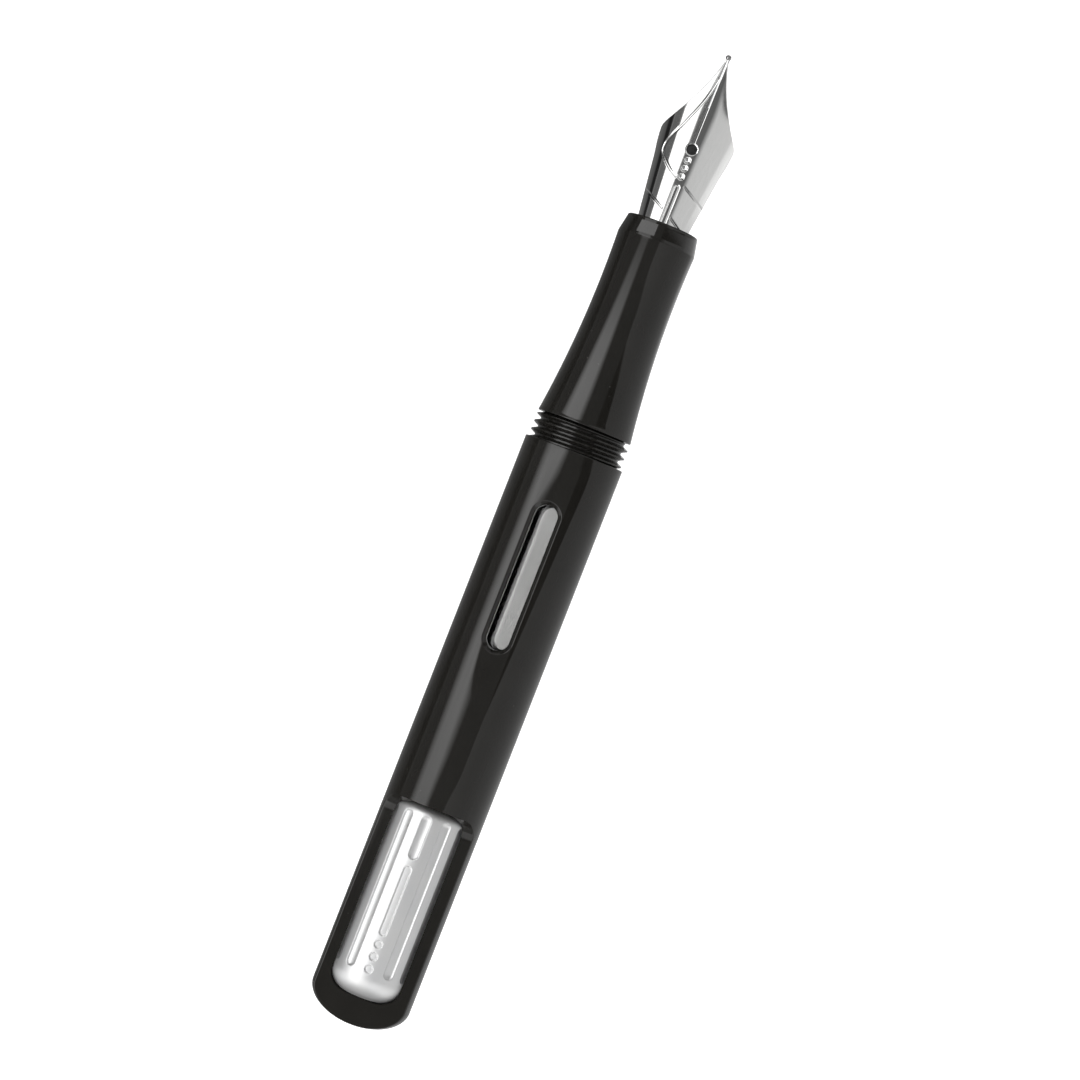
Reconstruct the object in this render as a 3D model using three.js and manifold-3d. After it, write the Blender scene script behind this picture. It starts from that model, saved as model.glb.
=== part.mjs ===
// Fountain pen without its cap: nib unit and grip section, screw-on barrel with two window slots and a
// silver bar let into the tail, and a screw converter inside.
// The pen is drawn along local Z (nib toward +Z, nib top toward +Y, z = 0 where section meets barrel),
// then turned so that it lies along X with the nib toward +X and its top toward +Z.
import * as THREE from 'three';
import { mergeVertices } from 'three/addons/utils/BufferGeometryUtils.js';
import Module from 'manifold-3d';

const wasm = await Module();
wasm.setup();

// ---- driving dimensions, millimetres ----
const TOLERANCE = 0.006;
const BARREL_R = 6.3;
const TAIL_Z = -78.1;
const TAIL_DOME = 3.8;
const RIM_Z = -3.4;
const NECK_R = 5.34;
const CAP_THREAD = { root: 5.34, crest: 6.0, pitch: 1.03, z0: -3.3, z1: -0.28, rows: 8 };
const BORE_R = 4.55;
const REAR_BORE_R = 3.9;
const REAR_BORE_STEP_Z = -33.6;
const BORE_END_Z = -48.2;

const SLOT_MID_Z = -19.83;
const SLOT_STRAIGHT = 7.88;
const SLOT_HALF_WIDTH = 1.45;
const SLOT_CHAMFER = 0.465;

const FLAT_Y = 2.33;
const FLAT_WALL_Z = -49.6;
const FLAT_COVE_R = 2.6;

const INLAY_R = 4.93;
const INLAY_FRONT_Z = -49.7;
const INLAY_REAR_Z = -74.4;
const INLAY_FLOOR_Y = 1.8;
const INLAY_GAP = 0.06;
const STUD_R = 0.8;
const STUD_Z = [-54.5, -69.5];

const SECTION_REAR_R = 6.03;
const WAIST_Z = 18.0;
const WAIST_R = 4.82;
const LIP_Z = 24.0;
const SECTION_FRONT_Z = 26.3;
const SECTION_FRONT_R = 4.52;
const SECTION_BORE_R = 3.95;
const TENON_R = 4.1;
const TENON_BORE_R = 3.6;
const TENON_END_Z = -6.2;
const TENON_THREAD = { root: 4.1, crest: 4.45, pitch: 1.2, z0: -5.9, z1: -1.6, rows: 5 };
const RING_R = 0.28;
const RING_Z = -0.95;

const NIB_TIP_Z = 48.5;
const NIB_BALL_R = 0.35;
const NIB_HEEL_Z = 11.0;
const NIB_R = 3.45;
const NIB_THICK = 0.32;
const NIB_SHOULDER_ROUND = 0.2;
const NIB_HEEL_W = 3.3;
const NIB_CURL = 5.7;
const NIB_CURL_T = 8.0;
const NIB_RAKE = 0.105;
const NIB_HIDDEN = 22.2;
const NIB_HOLE = 12.5;
const NIB_HOLE_R = 0.675;

const COLLAR_R = 3.9;
const COLLAR_BORE_R = 3.5;
const COLLAR_FRONT_Z = 25.6;
const COLLAR_BACK_Z = 7.0;
const FEED_REAR_Z = 10.6;
const NIPPLE_R = 1.15;
const NIPPLE_END_Z = 3.0;

const TUBE_R = 3.2;
const TUBE_BORE_R = 2.75;
const BAND_R = 3.6;
const BAND_FRONT_Z = -30.6;
const BAND_REAR_Z = -37.2;
const KNOB_REAR_Z = -45.0;
const ROD_R = 1.28;
const BALL_R = 1.25;

// ---- shape helpers ----
function solid(geometry) {
  const plain = geometry.clone();
  plain.deleteAttribute('normal');
  plain.deleteAttribute('uv');
  const merged = mergeVertices(plain, 1e-4);
  const index = merged.index.array;
  const kept = [];
  for (let i = 0; i < index.length; i += 3) {
    const [a, b, c] = [index[i], index[i + 1], index[i + 2]];
    if (a !== b && b !== c && c !== a) kept.push(a, b, c);
  }
  const vertProperties = new Float32Array(merged.attributes.position.array);
  return new wasm.Manifold(new wasm.Mesh({ numProp: 3, vertProperties, triVerts: new Uint32Array(kept) }));
}

// Outer skin of the largest body, without specks left by the cuts.
function surface(manifold) {
  const bodies = manifold.simplify(TOLERANCE).decompose().sort((a, b) => b.volume() - a.volume());
  const mesh = bodies[0].getMesh();
  const geometry = new THREE.BufferGeometry();
  geometry.setAttribute('position', new THREE.BufferAttribute(mesh.vertProperties, 3));
  geometry.setIndex(new THREE.BufferAttribute(mesh.triVerts, 1));
  geometry.computeVertexNormals();
  return geometry;
}

// Turned body about Z from an [r, z] outline listed counter-clockwise.
function turned(outline, segments, closed, thread) {
  const points = outline.map(([r, z]) => new THREE.Vector2(r, z));
  if (closed) points.push(points[0].clone());
  const geometry = new THREE.LatheGeometry(points, segments).rotateX(Math.PI / 2);
  return solid(thread ? raiseThread(geometry, thread) : geometry);
}

// Skin through rings of equal point count, with flat ends.
function loft(rings) {
  const count = rings[0].length;
  const last = (rings.length - 1) * count;
  const index = [];
  for (let k = 0; k + 1 < rings.length; k += 1) {
    for (let j = 0; j < count; j += 1) {
      const a = k * count + j;
      const b = k * count + ((j + 1) % count);
      index.push(a, b, b + count, a, b + count, a + count);
    }
  }
  const cap = (ring, offset, flip) => {
    const u = ring.map(([x, y, z]) => new THREE.Vector3(x, y, z));
    const normal = new THREE.Vector3();
    u.forEach((p, j) => normal.add(p.clone().cross(u[(j + 1) % count])));
    const [a, b] = Math.abs(normal.z) > Math.max(Math.abs(normal.x), Math.abs(normal.y))
      ? ['x', 'y'] : (Math.abs(normal.y) > Math.abs(normal.x) ? ['z', 'x'] : ['y', 'z']);
    const flat = u.map((p) => new THREE.Vector2(p[a], p[b]));
    THREE.ShapeUtils.triangulateShape(flat, []).forEach(([p, q, r]) => {
      const wound = THREE.ShapeUtils.area([flat[p], flat[q], flat[r]]) > 0;
      const ringWound = THREE.ShapeUtils.area(flat) > 0;
      const same = wound === ringWound;
      const face = same === flip ? [r, q, p] : [p, q, r];
      index.push(...face.map((v) => v + offset));
    });
  };
  cap(rings[0], 0, true);
  cap(rings[rings.length - 1], last, false);
  const geometry = new THREE.BufferGeometry();
  geometry.setAttribute('position', new THREE.Float32BufferAttribute(rings.flat(2), 3));
  geometry.setIndex(index);
  return solid(geometry);
}

function box(x0, x1, y0, y1, z0, z1) {
  const geometry = new THREE.BoxGeometry(x1 - x0, y1 - y0, z1 - z0);
  return solid(geometry.translate((x0 + x1) / 2, (y0 + y1) / 2, (z0 + z1) / 2));
}

function pin(radius, x, z, y0, y1, segments) {
  const geometry = new THREE.CylinderGeometry(radius, radius, y1 - y0, segments);
  return solid(geometry.translate(x, (y0 + y1) / 2, z));
}

function ball(radius, x, y, z) {
  return solid(new THREE.SphereGeometry(radius, 14, 9).rotateX(0.35).rotateZ(0.2).translate(x, y, z));
}

// Round-ended bar along Z, used to cut grooves.
function capsule(radius, x, y, z0, z1) {
  const geometry = new THREE.CapsuleGeometry(radius, Math.abs(z1 - z0), 4, 16);
  geometry.rotateY(0.13).rotateX(Math.PI / 2);
  return solid(geometry.translate(x, y, (z0 + z1) / 2));
}

// Rows of outline points on which a thread is later raised, from low to high z.
function threadRows(thread) {
  const rows = [];
  const count = Math.round(((thread.z1 - thread.z0) / thread.pitch) * thread.rows);
  for (let k = 0; k <= count; k += 1) rows.push([thread.root, thread.z0 + (k / count) * (thread.z1 - thread.z0)]);
  return rows;
}

// Single-start right-hand thread raised on the rows at its root radius, fading out at both ends.
function raiseThread(geometry, thread) {
  const position = geometry.attributes.position;
  for (let i = 0; i < position.count; i += 1) {
    const [x, y, z] = [position.getX(i), position.getY(i), position.getZ(i)];
    const r = Math.hypot(x, y);
    if (Math.abs(r - thread.root) > 1e-4 || z < thread.z0 || z > thread.z1) continue;
    const end = Math.min(z - thread.z0, thread.z1 - z) / (0.3 * thread.pitch);
    const wave = 0.5 - 0.5 * Math.cos(2 * Math.PI * (z / thread.pitch) - Math.atan2(y, x));
    const lift = THREE.MathUtils.clamp(1.35 * wave - 0.18, 0, 1) * THREE.MathUtils.clamp(end, 0, 1);
    const scale = (thread.root + (thread.crest - thread.root) * lift) / r;
    position.setXY(i, x * scale, y * scale);
  }
  return geometry;
}

const pen = new THREE.Group();
function piece(name, manifold, color, roughness, metalness) {
  const material = new THREE.MeshStandardMaterial({ color, roughness, metalness });
  const mesh = new THREE.Mesh(surface(manifold), material);
  mesh.name = name;
  pen.add(mesh);
}

// ---- barrel ----
function barrelBlank() {
  const outline = [];
  for (let k = 0; k <= 9; k += 1) {
    const a = (k / 9) * Math.PI / 2;
    outline.push([k === 0 ? 0 : BARREL_R * Math.sin(a), TAIL_Z + TAIL_DOME * (1 - Math.cos(a))]);
  }
  outline.push([BARREL_R, RIM_Z - 0.12], [BARREL_R - 0.12, RIM_Z]);
  outline.push([NECK_R, RIM_Z], ...threadRows(CAP_THREAD), [NECK_R - 0.25, 0], [BORE_R, 0]);
  outline.push([BORE_R, REAR_BORE_STEP_Z], [REAR_BORE_R, REAR_BORE_STEP_Z - 0.5]);
  outline.push([REAR_BORE_R, BORE_END_Z], [0, BORE_END_Z]);
  return turned(outline, 48, false, CAP_THREAD);
}

function slotOutline(halfWidth) {
  const points = [];
  for (const side of [1, -1]) {
    for (let k = 0; k <= 8; k += 1) {
      const a = side * Math.PI / 2 - Math.PI / 2 + (k / 8) * Math.PI;
      points.push([halfWidth * Math.cos(a), side * SLOT_STRAIGHT + halfWidth * Math.sin(a)]);
    }
  }
  return points;
}

// Chamfer of even width that follows the round barrel.
function slotChamfer() {
  const levels = [[-0.06, -0.5], [0, -SLOT_CHAMFER], [SLOT_CHAMFER, 0], [SLOT_CHAMFER + 0.35, 0.35]];
  return loft(levels.map(([grow, lift]) => slotOutline(SLOT_HALF_WIDTH + grow)
    .map(([x, z]) => [x, Math.sqrt(BARREL_R ** 2 - x ** 2) + lift, SLOT_MID_Z + z]).reverse()));
}

function slotThrough() {
  return loft([-9, 9].map((y) => slotOutline(SLOT_HALF_WIDTH)
    .map(([x, z]) => [x, y, SLOT_MID_Z + z]).reverse()));
}

function tailFlat() {
  const outline = [[TAIL_Z - 2, 8], [TAIL_Z - 2, FLAT_Y]];
  for (let k = 0; k <= 8; k += 1) {
    const a = (k / 8) * Math.PI / 2;
    const z = FLAT_WALL_Z - FLAT_COVE_R + FLAT_COVE_R * Math.sin(a);
    outline.push([z, FLAT_Y + FLAT_COVE_R * (1 - Math.cos(a))]);
  }
  outline.push([FLAT_WALL_Z, 8]);
  return loft([-9, 9].map((x) => outline.map(([z, y]) => [x, y, z]).reverse()));
}

// Round bar with filleted ends, cut off below; grow > 0 gives the pocket it sits in.
function inlayBar(grow, frontFillet, rearFillet) {
  const r = INLAY_R + grow;
  const z0 = INLAY_REAR_Z - grow;
  const z1 = INLAY_FRONT_Z + Math.min(grow, 0.04);
  const outline = [[0, z0]];
  for (let k = 0; k <= 6; k += 1) {
    const a = (k / 6) * Math.PI / 2;
    outline.push([r - rearFillet * (1 - Math.sin(a)), z0 + rearFillet * (1 - Math.cos(a))]);
  }
  for (let k = 0; k <= 4; k += 1) {
    const a = (k / 4) * Math.PI / 2;
    outline.push([r - frontFillet * (1 - Math.cos(a)), z1 - frontFillet * (1 - Math.sin(a))]);
  }
  outline.push([0, z1]);
  const floor = INLAY_FLOOR_Y - grow;
  return turned(outline, 48, false).intersect(box(-8, 8, floor, 8, z0 - 2, z1 + 2));
}

function inlay() {
  let bar = inlayBar(0, 1.2, 2.8);
  const depth = 0.3;
  const groove = (angle, z0, z1, width) => {
    const radius = (width * width / 4 + depth * depth) / (2 * depth);
    const r = INLAY_R + radius - depth;
    const x = r * Math.sin(angle);
    const y = r * Math.cos(angle);
    bar = bar.subtract(capsule(radius, x, y, z0 - width / 2, z1 + width / 2));
  };
  for (const degrees of [-60, -30, 30, 60]) {
    groove(THREE.MathUtils.degToRad(degrees), -50.8, -71.0, 1.25);
  }
  groove(0, -50.8, -56.3, 1.25);
  groove(0, -57.2, -66.2, 1.0);
  for (const z of [-67.3, -68.9, -70.5]) groove(0, z + 0.5, z - 0.5, 1.05);
  return bar;
}

function barrel() {
  let body = barrelBlank();
  body = body.subtract(slotThrough());
  body = body.subtract(slotChamfer());
  body = body.subtract(slotChamfer().rotate([0, 0, 180]));
  body = body.subtract(tailFlat());
  body = body.subtract(inlayBar(INLAY_GAP, 0.9, 2.2));
  for (const z of STUD_Z) body = body.subtract(pin(STUD_R + 0.05, 0, z, -1.2, INLAY_FLOOR_Y + 0.2, 16));
  return body;
}

const BLACK = 0x1f1e1c;
piece('barrel', barrel(), BLACK, 0.12, 0);
piece('window_sleeve', turned([[4.1, -33.2], [4.5, -33.2], [4.5, -7.2], [4.1, -7.2]], 40, true), 0x6d706f, 0.1, 0);
piece('tail_inlay', inlay(), 0xc9c9c7, 0.38, 1);
STUD_Z.forEach((z, k) => {
  const name = k === 0 ? 'inlay_stud_front' : 'inlay_stud_rear';
  piece(name, pin(STUD_R, 0, z, -1.1, INLAY_FLOOR_Y, 16), 0xb5b5b2, 0.4, 1);
});

// ---- grip section ----
function section() {
  const outline = [[TENON_BORE_R, TENON_END_Z], [TENON_R - 0.2, TENON_END_Z], [TENON_R, TENON_END_Z + 0.2]];
  outline.push(...threadRows(TENON_THREAD), [TENON_R, RING_Z - 0.36], [TENON_R - 0.16, RING_Z - 0.32]);
  outline.push([TENON_R - 0.16, RING_Z + 0.32], [TENON_R, RING_Z + 0.36], [TENON_R, 0]);
  const sweep = (WAIST_Z ** 2) / (2 * (SECTION_REAR_R - WAIST_R));
  for (let k = 0; k <= 12; k += 1) {
    const z = (k / 12) * LIP_Z;
    outline.push([WAIST_R + (z - WAIST_Z) ** 2 / (2 * sweep), z]);
  }
  outline.push([SECTION_FRONT_R + 0.03, SECTION_FRONT_Z - 0.12], [SECTION_FRONT_R - 0.1, SECTION_FRONT_Z]);
  outline.push([SECTION_BORE_R, SECTION_FRONT_Z], [SECTION_BORE_R, 5.6], [TENON_BORE_R, 5.6]);
  return turned(outline, 48, true, TENON_THREAD);
}

function sealRing() {
  const outline = [];
  for (let k = 0; k < 10; k += 1) {
    const a = (k / 10) * 2 * Math.PI;
    outline.push([TENON_R + 0.125 + RING_R * Math.cos(a), RING_Z + RING_R * Math.sin(a)]);
  }
  return turned(outline, 32, true);
}

piece('section_shell', section(), BLACK, 0.12, 0);
piece('section_o_ring', sealRing(), 0x141414, 0.6, 0);

// ---- nib: half width, curl radius and crest height by distance t behind the tip ----
function nibHalfWidth(t) {
  const flare = Math.max(0.37 + 0.26 * (t - 1.4) + 0.026 * (t - 1.4) ** 2, 0.28);
  const left = Math.max(NIB_HIDDEN - t, 0);
  const back = NIB_HEEL_W + 0.13 * left + 0.09 * THREE.MathUtils.smoothstep(left, 7.5, 9.8);
  return (flare + back - Math.hypot(flare - back, 2 * NIB_SHOULDER_ROUND)) / 2;
}

function nibCurl(t) {
  if (t < NIB_CURL_T) return 2.6 + (NIB_CURL - 2.6) * THREE.MathUtils.smoothstep(t, 0, NIB_CURL_T);
  const k = Math.min((t - NIB_CURL_T) / (NIB_HIDDEN - NIB_CURL_T), 1);
  return NIB_CURL + (NIB_R - NIB_CURL) * k;
}

function nibCrest(t) {
  return NIB_R - NIB_RAKE * Math.max(NIB_HIDDEN - t, 0);
}

function nibArc(t, inset, reach, count) {
  const curl = nibCurl(t);
  const half = Math.asin(Math.min(reach / curl, 0.99));
  const points = [];
  for (let j = 0; j <= count; j += 1) {
    const a = -half + (2 * half * j) / count;
    points.push([(curl - inset) * Math.sin(a), nibCrest(t) - curl + (curl - inset) * Math.cos(a)]);
  }
  return points;
}

const NIB_FRONT = NIB_BALL_R + 0.29;
function nib() {
  const stations = [NIB_FRONT, 1.0, 1.4, 2.1, 2.8, 3.5, 4.3, 5.2, 6.1, 7.0, 8.0, 9.0, 9.8, 10.4, 10.9, 11.4];
  for (let t = 12.0; t < NIB_HIDDEN; t += 1.1) stations.push(t);
  stations.push(NIB_HIDDEN, NIB_TIP_Z - NIB_HEEL_Z);
  const rings = stations.map((t) => {
    const thick = NIB_THICK + 0.14 * Math.max(0, 1 - t / 3);
    const top = nibArc(t, 0, nibHalfWidth(t), 12);
    const under = nibArc(t, thick, nibHalfWidth(t), 12).reverse();
    return [...top, ...under].map(([x, y]) => [x, y, NIB_TIP_Z - t]);
  });
  let body = loft(rings);
  body = body.subtract(box(-0.05, 0.05, -5, 5, NIB_TIP_Z - NIB_HOLE, NIB_TIP_Z + 1));
  body = body.subtract(pin(NIB_HOLE_R, 0, NIB_TIP_Z - NIB_HOLE, -2, 6, 20));
  for (const t of [13.95, 15.0, 16.1]) {
    body = body.subtract(ball(0.8, 0, nibCrest(t) + 0.67, NIB_TIP_Z - t));
  }
  const groove = capsule(1.0, 0, 0, 0, -9).rotate([THREE.MathUtils.radToDeg(Math.atan(NIB_RAKE)), 0, 0]);
  return body.subtract(groove.translate([0, nibCrest(17.3) + 0.94, NIB_TIP_Z - 17.3]));
}

function tipping() {
  const outline = [[0, NIB_TIP_Z - NIB_FRONT]];
  const start = Math.asin(-0.29 / NIB_BALL_R);
  for (let k = 0; k <= 7; k += 1) {
    const a = start + (k / 7) * (Math.PI / 2 - start);
    const r = k === 7 ? 0 : NIB_BALL_R * Math.cos(a);
    outline.push([r, NIB_TIP_Z - NIB_BALL_R + NIB_BALL_R * Math.sin(a)]);
  }
  return turned(outline, 20, false).translate([0, nibCrest(NIB_FRONT) - 0.22, 0]);
}

// Feed: its top lies under the nib, its underside carries a comb of fins.
function feed() {
  const stations = [7, 7.6, 8.6, 10, 12, 14, 16, 18, 20, 21.6, NIB_HIDDEN, 24, NIB_TIP_Z - FEED_REAR_Z];
  const rings = stations.map((t) => {
    const inCollar = t >= NIB_HIDDEN;
    const grow = THREE.MathUtils.smoothstep(t, 6.4, 13);
    const reach = inCollar ? 3.37 : 0.7 + 2.2 * grow;
    const top = nibArc(t, NIB_THICK + 0.04, Math.min(reach, nibHalfWidth(t) - 0.25), 8);
    const [edgeX, edgeY] = top[8];
    const rise = 1 - Math.min((t - 7) / (NIB_HIDDEN - 7), 1);
    const depth = edgeY + 3.3 - (3.3 + nibCrest(7) - 1.2) * rise ** 1.15;
    const under = [];
    for (let j = 1; j < 12; j += 1) {
      const a = (j / 12) * Math.PI;
      under.push([edgeX * Math.cos(a), edgeY - Math.max(depth, 0.5) * Math.sin(a)]);
    }
    return [...top, ...under].map(([x, y]) => [x, y, NIB_TIP_Z - t]);
  });
  let body = loft(rings);
  for (let k = 0; k < 8; k += 1) {
    const z = 28.2 + k * 1.15;
    body = body.subtract(box(-5, 5, -6, -0.9 + 0.16 * k, z, z + 0.4));
  }
  return body;
}

function collar() {
  const outline = [[0.45, NIPPLE_END_Z], [NIPPLE_R - 0.12, NIPPLE_END_Z], [NIPPLE_R, NIPPLE_END_Z + 0.3]];
  outline.push([NIPPLE_R, COLLAR_BACK_Z], [COLLAR_R, COLLAR_BACK_Z], [COLLAR_R, COLLAR_FRONT_Z]);
  outline.push([COLLAR_BORE_R, COLLAR_FRONT_Z], [COLLAR_BORE_R, 10.5], [0.45, 10.5]);
  return turned(outline, 40, true);
}

piece('nib', nib(), 0xd3d3d1, 0.14, 1);
piece('nib_tipping', tipping(), 0xc4c4c6, 0.25, 1);
piece('feed', feed(), 0x161616, 0.45, 0);
piece('nib_collar', collar(), 0x191919, 0.4, 0);

// ---- converter ----
function mouth() {
  const outline = [[TUBE_R + 0.02, -1.0], [3.5, -1.0], [3.5, 6.3], [3.3, 6.6], [NIPPLE_R + 0.05, 6.6]];
  outline.push([NIPPLE_R + 0.05, 3.5], [TUBE_R + 0.02, 3.5]);
  return turned(outline, 32, true);
}

function seal() {
  const outline = [[ROD_R + 0.02, -33.0], [2.72, -33.0], [2.72, -32.3], [2.4, -32.0], [2.4, -31.3]];
  outline.push([2.72, -31.0], [2.72, -30.4], [ROD_R + 0.02, -30.4]);
  return turned(outline, 28, true);
}

function rod() {
  return turned([[0.8, -43.6], [ROD_R, -43.6], [ROD_R, -30.3], [0, -30.3], [0, -31.3], [0.8, -31.3]], 20, true);
}

function knob() {
  const outline = [[0, KNOB_REAR_Z], [3.1, KNOB_REAR_Z], [3.4, KNOB_REAR_Z + 0.3], [3.4, -37.6]];
  outline.push([3.1, -37.3], [1.6, -37.3], [1.6, -44.2], [0, -44.2]);
  let body = turned(outline, 36, false);
  for (let k = 0; k < 12; k += 1) {
    const a = (k / 12) * 2 * Math.PI;
    const x = 3.75 * Math.cos(a);
    const y = 3.75 * Math.sin(a);
    body = body.subtract(capsule(0.5, x, y, -39.2, -43.4));
  }
  return body;
}

function spindle() {
  const thread = { root: 0.52, crest: 0.72, pitch: 1.6, z0: -43.4, z1: -34.2, rows: 5 };
  return turned([[0, -44.2], [0.52, -44.2], ...threadRows(thread), [0.52, -33.6], [0, -33.6]], 12, false, thread);
}

const tube = [[TUBE_BORE_R, -34], [TUBE_R, -34], [TUBE_R, 3.45], [TUBE_BORE_R, 3.45]];
const band = [[TUBE_R + 0.02, BAND_REAR_Z], [BAND_R - 0.1, BAND_REAR_Z], [BAND_R, BAND_REAR_Z + 0.1]];
band.push([BAND_R, BAND_FRONT_Z - 0.1], [BAND_R - 0.1, BAND_FRONT_Z], [TUBE_R + 0.02, BAND_FRONT_Z]);
const guide = [[ROD_R + 0.07, -37.1], [TUBE_R, -37.1], [TUBE_R, -34.05], [ROD_R + 0.07, -34.05]];
piece('converter_mouth', mouth(), 0x1b1b1b, 0.3, 0);
piece('converter_tube', turned(tube, 32, true), 0xdfe3e4, 0.05, 0);
piece('converter_band', turned(band, 36, true), 0xc2c2c0, 0.2, 1);
piece('converter_guide', turned(guide, 28, true), 0x1b1b1b, 0.4, 0);
piece('piston_seal', seal(), 0x101010, 0.5, 0);
piece('piston_rod', rod(), 0x242424, 0.4, 0);
piece('spindle', spindle(), 0x2a2a2a, 0.4, 0);
piece('converter_knob', knob(), 0x1a1a1a, 0.35, 0);
piece('agitator_ball', ball(BALL_R, 0, BALL_R - TUBE_BORE_R + 0.02, 0.4), 0xb9bbbd, 0.15, 1);

// ---- lay the pen down: local Z becomes X, local Y becomes Z ----
pen.quaternion.setFromAxisAngle(new THREE.Vector3(1, 1, 1).normalize(), (2 * Math.PI) / 3);
pen.position.set(-(NIB_TIP_Z + TAIL_Z) / 2, 0, BARREL_R);
const group = new THREE.Group();
group.name = 'fountain_pen';
group.add(pen);
export default group;
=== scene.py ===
import math

import bmesh
import bpy
import numpy as np
from mathutils import Matrix, Vector


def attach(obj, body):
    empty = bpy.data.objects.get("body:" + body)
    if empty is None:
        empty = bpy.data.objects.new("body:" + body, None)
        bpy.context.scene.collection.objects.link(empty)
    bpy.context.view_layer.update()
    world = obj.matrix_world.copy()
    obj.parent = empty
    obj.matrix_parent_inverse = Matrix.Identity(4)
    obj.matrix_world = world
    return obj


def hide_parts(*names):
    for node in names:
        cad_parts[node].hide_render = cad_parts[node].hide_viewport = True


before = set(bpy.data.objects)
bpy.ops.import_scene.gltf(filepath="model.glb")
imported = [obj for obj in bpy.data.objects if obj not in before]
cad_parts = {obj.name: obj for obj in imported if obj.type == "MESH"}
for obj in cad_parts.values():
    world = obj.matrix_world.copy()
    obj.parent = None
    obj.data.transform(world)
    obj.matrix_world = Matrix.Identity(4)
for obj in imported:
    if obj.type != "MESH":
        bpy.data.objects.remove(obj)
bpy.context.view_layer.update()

# ---- pen coordinates: x across, y toward the nib's top, z along the pen toward the tip, millimetres,
# ---- with z = 0 where the grip section meets the barrel ----
MM = 0.001
ALONG = 14.8
AXIS = 6.3
R = 6.3


def place(points):
    """Pen coordinates in millimetres to the row frame in metres."""
    p = np.asarray(points, float)
    return np.stack([(p[..., 2] + ALONG) * MM, p[..., 0] * MM, (p[..., 1] + AXIS) * MM], -1)


def smoothstep(a, b, x):
    k = np.clip((np.asarray(x, float) - a) / (b - a), 0, 1)
    return k * k * (3 - 2 * k)


# ---- mesh helpers ----
def make(name, verts, faces, sharp=35.0):
    """A closed smooth-shaded object from pen coordinates."""
    mesh = bpy.data.meshes.new(name)
    mesh.from_pydata([tuple(v) for v in place(verts)], [], faces)
    bm = bmesh.new()
    bm.from_mesh(mesh)
    bmesh.ops.remove_doubles(bm, verts=bm.verts, dist=2e-7)
    bmesh.ops.recalc_face_normals(bm, faces=bm.faces)
    bm.to_mesh(mesh)
    bm.free()
    obj = bpy.data.objects.new(name, mesh)
    bpy.context.scene.collection.objects.link(obj)
    soften(obj, sharp)
    return obj


def soften(obj, sharp=35.0):
    mesh = obj.data
    mesh.polygons.foreach_set("use_smooth", [True] * len(mesh.polygons))
    mesh.set_sharp_from_angle(angle=math.radians(sharp))
    mesh.update()


def skin_faces(rows, cols, wrap_rows=False):
    """Quads of a grid that closes round its columns."""
    faces = []
    for k in range(rows if wrap_rows else rows - 1):
        a = k * cols
        b = ((k + 1) % rows) * cols
        for j in range(cols):
            n = (j + 1) % cols
            faces.append((a + j, a + n, b + n, b + j))
    return faces


def loft(name, rings, sharp=35.0, cap=None):
    """Skin through rings of equal length, closed at both ends; cap gives an end's faces if one flat face
    won't do."""
    rings = np.asarray(rings, float)
    rows, cols = rings.shape[:2]
    faces = skin_faces(rows, cols)
    first = cap or [tuple(range(cols))]
    faces += [tuple(reversed(f)) for f in first]
    faces += [tuple(v + (rows - 1) * cols for v in f) for f in first]
    return make(name, rings.reshape(-1, 3), faces, sharp)


def lathe(name, outline, segments=192, closed=False, sharp=35.0, shape=None):
    """Turned body from an (r, z) outline listed counter-clockwise; shape(angle, r, z) alters the radius."""
    pts = np.asarray(outline, float)
    a = np.arange(segments) * 2 * math.pi / segments
    r = np.repeat(pts[:, :1], segments, 1)
    z = np.repeat(pts[:, 1:], segments, 1)
    ang = np.repeat(a[None, :], len(pts), 0)
    if shape:
        r = shape(ang, r, z)
    verts = np.stack([r * np.cos(ang), r * np.sin(ang), z], -1)
    return make(name, verts.reshape(-1, 3), skin_faces(len(pts), segments, closed), sharp)


def arc(cr, cz, radius, start, end, steps):
    """Outline points on an arc in the (r, z) plane, angles in degrees."""
    out = []
    for k in range(steps + 1):
        a = math.radians(start + (end - start) * k / steps)
        out.append((cr + radius * math.cos(a), cz + radius * math.sin(a)))
    return out


def from_crest(ang, z, pitch, crest_z):
    """Distance along the pen to the nearest crest of a single-start right-hand thread."""
    turn = (z - crest_z) / pitch - ang / (2 * math.pi)
    return np.abs(turn - np.round(turn)) * pitch


def cut_away(obj, tool):
    """A boolean difference that replaces the object's mesh; the tool is removed."""
    mod = obj.modifiers.new("cut", "BOOLEAN")
    mod.operation = "DIFFERENCE"
    mod.solver = "EXACT"
    mod.object = tool
    graph = bpy.context.evaluated_depsgraph_get()
    mesh = bpy.data.meshes.new_from_object(obj.evaluated_get(graph))
    obj.modifiers.clear()
    old = obj.data
    obj.data = mesh
    bpy.data.meshes.remove(old)
    bpy.data.objects.remove(tool)


NORMAL_REACH = 9.0   # degrees within which a corner's normal is taken for the known surface's


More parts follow.
